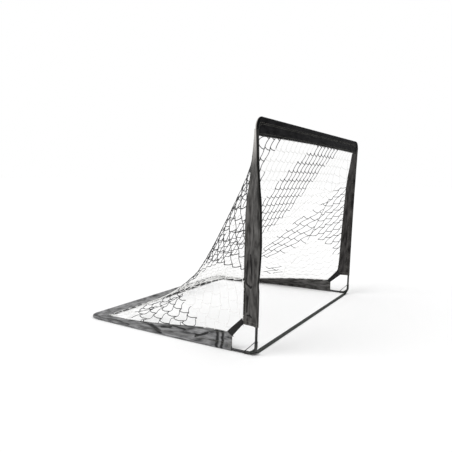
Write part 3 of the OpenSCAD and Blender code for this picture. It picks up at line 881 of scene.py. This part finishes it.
def net_edge(side, hand):
    """The net's edge down a post band and back along a side band, as places from 0 at the
    crossbar to 1 at the rear, and the points there, on the right-hand side of the goal."""
    down = [c + EDGE * out for c, _, out, _ in post_stations[side][POST_STEPS - TOP_SKIP::-1]]
    rear = [c + EDGE * out for c, _, out, _ in side_stations[side][:SIDE_STEPS + 1]]
    down = np.array([net_top] + [[hand * p.x, p.y, p.z] for p in down])
    rear = np.array([down[-1]] + [[hand * p.x, p.y, p.z] for p in rear] + [net_rear])
    places = np.concatenate([lengths(down, 0, POST_SHARE), lengths(rear, POST_SHARE, 1)])
    return places, np.concatenate([down, rear])


left_edge, right_edge = net_edge("left", -1), net_edge("right", 1)
fall = np.linspace(0, 1, 65)
hang = STRAIGHT * fall + (1 - STRAIGHT) * fall ** 6
middle = np.stack([0 * fall, mix(net_top[1], net_rear[1], hang), mix(net_top[2], net_rear[2], fall)], 1)
middle_v = lengths(middle, 0, 1)


def along_line(v, places, line):
    return np.stack([np.interp(v, places, line[:, k]) for k in range(3)], -1)


def net_at(u, v):
    """Points of the net, u across it from left to right and v down it, both 0 to 1."""
    chord = along_line(v, middle_v, middle)
    chord[..., 0] = mix(net_top[0], net_rear[0], v)
    left, right = (along_line(v, *edge) - chord for edge in (left_edge, right_edge))
    taut = TAUT + TAUT_TOP * np.log(1 / np.maximum(v, 0.002))

    def pull(q):
        return ((np.exp(taut * (q - 1)) - np.exp(-taut * (q + 1))) / (1 - np.exp(-2 * taut)))[..., None]
    base = chord * np.array([0, 1, 1]) + np.array([1, 0, 0]) * (chord[..., :1] * (2 * u - 1)[..., None])
    spots = base + pull(u) * right + pull(1 - u) * left * np.array([-1, 1, 1])
    spots[..., 2] += BAR_RISE * (1 - (2 * u - 1) ** 2) * np.exp(-12 * v)
    return spots


# Meshes across are counted along the cloth from the middle, so every mesh is as wide as
# the next wherever the sheet bends
MIDDLE_MESH, LINES_PER_ROW, HALF_RULE = 12, 8, 240
RULE_U = np.linspace(0, 1, 2 * HALF_RULE + 1)
RULE_G = np.linspace(0, ROWS, LINES_PER_ROW * ROWS + 1)
sheet = net_at(*np.meshgrid(RULE_U, RULE_G / ROWS))
along_row = np.cumsum(np.linalg.norm(np.diff(sheet, axis=1), axis=2), axis=1)
along_row = np.concatenate([np.zeros((len(RULE_G), 1)), along_row], 1)
rule = MIDDLE_MESH + (along_row - along_row[:, [HALF_RULE]]) / MESH


def across_share(s, g):
    """The share u of the net's width at which s meshes lie on the line g rows down."""
    g = min(max(g, 0), ROWS)
    below = min(int(g * LINES_PER_ROW), LINES_PER_ROW * ROWS - 1)
    upper, lower = (np.interp(s, rule[line], RULE_U) for line in (below, below + 1))
    return mix(upper, lower, g * LINES_PER_ROW - below)


# Beside the posts the meshes lie along the post, and in between they are drawn aslant. Each
# zone has the width of its meshes, how far a row lies across from the one above, how far a
# row climbs in one mesh, and where from
LEFT_ZONE, MIDDLE_ZONE = (1.0, -0.12, 0.34, 2.7), (1.0, 0.95, 0.0, 0.0)
LOWER_ZONE, RIGHT_ZONE = (0.85, -0.32, -0.05, 0.0), (0.66, 0.0, -0.85, 23.4)
# Where the zones meet, as rows down and meshes across
LEFT_SEAM = ((2.0, 4.5), (-2.0, LEFT_ZONE[3]))
RIGHT_SEAM = ((2.5, 4.0, 16, 20), (26.0, RIGHT_ZONE[3], RIGHT_ZONE[3], 26))
FORK = ((4.0, 6.0, 8.0, 10.0, 12.0, 15.0, 19.0), (26, 21.0, 19.4, 18.2, 17.0, 15.5, 14.0))
PEAK, VALLEY = 0.125, 0.93  # a row line's half height, and how far on its valley lies
STIR, STIR_ROWS, STIR_MESHES = 0.035, 40, 90
rng = np.random.default_rng(7)
stir = rng.normal(0, STIR, (STIR_ROWS, STIR_MESHES, 2, 2))


def zone_limits(zone, g):
    """The lowest and highest s of a zone on the lines g."""
    low, high = np.interp(g, RULE_G, rule[:, 0]), np.interp(g, RULE_G, rule[:, -1])
    left = np.maximum(low, np.interp(g, *LEFT_SEAM))
    right = np.minimum(high, np.interp(g, *RIGHT_SEAM))
    fork = np.minimum(right, np.interp(g, *FORK))
    return {LEFT_ZONE: (low, left), MIDDLE_ZONE: (left, fork),
            LOWER_ZONE: (fork, right), RIGHT_ZONE: (right, high)}[zone]


def knot(zone, row, n, low):
    """Where a row line turns, as meshes across and rows down: peak n of the row, or, where
    low, the valley after it."""
    width, drift, climb, origin = zone
    g = row + (PEAK if low else -PEAK)
    s = (n + 0.5 * (row % 2) + (VALLEY if low else 0)) * width + drift * g
    jog = stir[row % STIR_ROWS, n % STIR_MESHES, 1 if low else 0]
    return np.array([s + jog[0], g + climb * (s - origin) + 0.5 * jog[1]])


def clipped(zone, a, b):
    """The part of a strand that lies on the sheet and in its zone, or None."""
    t = np.linspace(0, 1, 13)
    s, g = (mix(a[k], b[k], t) for k in (0, 1))
    low, high = zone_limits(zone, g)
    room = np.minimum(np.minimum(g, ROWS - g), np.minimum(s - low, high - s) * 0.2)
    on = np.flatnonzero(room >= 0)
    if len(on) < 2:
        return None
    first, last = t[on[0]], t[on[-1]]
    if on[0] > 0:
        first = mix(first, t[on[0] - 1], room[on[0]] / (room[on[0]] - room[on[0] - 1]))
    if on[-1] < len(t) - 1:
        last = mix(last, t[on[-1] + 1], room[on[-1]] / (room[on[-1]] - room[on[-1] + 1]))
    return a + (b - a) * first, a + (b - a) * last


# The outlines of the black groups, as meshes across and rows down
BLACK_GROUPS = (
    ((-6, -1), (4.2, -1), (3.4, 0.6), (3.0, 2.9), (5, 3.2), (5, 13.5), (2.2, 12.0), (0, 11.2),
     (-2.8, 10.3), (-6, 10.3)),
    ((-4, 16.6), (4.3, 16.6), (4.3, 21.5), (-4, 21.5)),
    ((11.6, -1), (11.3, 0.7), (9.7, 1.6), (8.9, 4.0), (8.7, 7.0), (6.0, 10.0), (3.5, 10.5),
     (3.5, 15.0), (5.5, 17.5), (7.8, 15.6), (12.0, 14.0), (15.4, 10.8), (17.0, 9.7), (17.5, 7.0),
     (17.7, 4.2), (17.5, 2.0), (18.6, 0.9), (18.2, -1)),
    ((30, 3.9), (24.6, 3.9), (23.6, 4.4), (23.5, 5.8), (22.2, 8.0), (20.6, 10.0), (19.4, 12.3),
     (18.4, 14.4), (17.4, 15.8), (18.6, 16.6), (19.8, 15.6), (21.2, 14.3), (22.9, 12.2),
     (23.7, 10.9), (24.6, 10.9), (27.5, 11.8), (30, 12.4)),
    ((21.3, 16.6), (22.9, 16.3), (23.8, 17.4), (22.6, 18.2)),
    ((8.0, 21.6), (12.0, 20.7), (20.5, 20.7), (20.5, 24), (8.0, 24)),
)


def is_black(s, g):
    """Whether the place lies in a black group: an odd number of its outline's sides is
    crossed on the way out to the right."""
    for outline in BLACK_GROUPS:
        odd = False
        for (s0, g0), (s1, g1) in zip(outline, outline[1:] + outline[:1]):
            if (g0 > g) != (g1 > g) and s < mix(s0, s1, (g - g0) / (g1 - g0)):
                odd = not odd
        if odd:
            return True
    return False


# In the left rear corner the strands hang loose
LOOSE_LEFT_OF, LOOSE_BELOW, LOOSE = 8, 15, 2.6
strands = []


def add_strand(a, b, cuts, thick, bow=(0, 0)):
    """A strand from a to b laid on the sheet and bowed aside, black or white by the group
    it lies in."""
    if a[0] < LOOSE_LEFT_OF and a[1] > LOOSE_BELOW:
        bow = LOOSE * np.array(bow)
    chart = [mix(a, b, k / cuts) + math.sin(math.pi * k / cuts) * np.array(bow) for k in range(cuts + 1)]
    u = np.array([across_share(*spot) for spot in chart])
    spots = net_at(u, np.clip([g / ROWS for _, g in chart], 0, 1))
    number, thick = (0, thick) if is_black(*(a + b) / 2) else (1, WHITE_SHARE * thick)
    strands.append((spots.tolist(), number, [1.2 * thick] + [thick] * (cuts - 1) + [1.2 * thick]))


# From each peak of a row a strand runs to its valley, and from there one to the next peak
# and one to a peak of the row below, each with its cuts, its thickness and its bow
for zone, rows, columns in ((LEFT_ZONE, range(-3, 31), range(-12, 16)),
                            (MIDDLE_ZONE, range(-1, 25), range(-26, 28)),
                            (LOWER_ZONE, range(-1, 27), range(14, 42)),
                            (RIGHT_ZONE, range(0, 32), range(34, 48))):
    for row in rows:
        shift, sway = (1, 0.09) if row % 2 else (0, -0.09)
        for n in columns:
            peak, valley = knot(zone, row, n, False), knot(zone, row, n, True)
            next_peak, peak_below = knot(zone, row, n + 1, False), knot(zone, row + 1, n + shift, False)
            for a, b, cuts, thick, bow in ((peak, valley, 3, 1.1, (0, 0.07)),
                                           (valley, next_peak, 2, 1.1, (0, 0)),
                                           (valley, peak_below, 4, 0.9, (sway, 0))):
                part = clipped(zone, a, b)
                if part is not None:
                    add_strand(*part, cuts, thick, bow)
# The zones are laced together along their edges
for zone, first in ((LEFT_ZONE, 2.0), (MIDDLE_ZONE, 5.0), (LOWER_ZONE, 3.0)):
    stops = np.arange(first, ROWS + 0.01, 0.5)
    edge_line = np.stack([zone_limits(zone, stops)[1], stops], 1)
    for a, b in zip(edge_line, edge_line[1:]):
        add_strand(a, b, 2, 0.8)
net = twine("goal_net", strands, TWINE_R, [black, white], sides=1)
fold_down(net)
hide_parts("net")
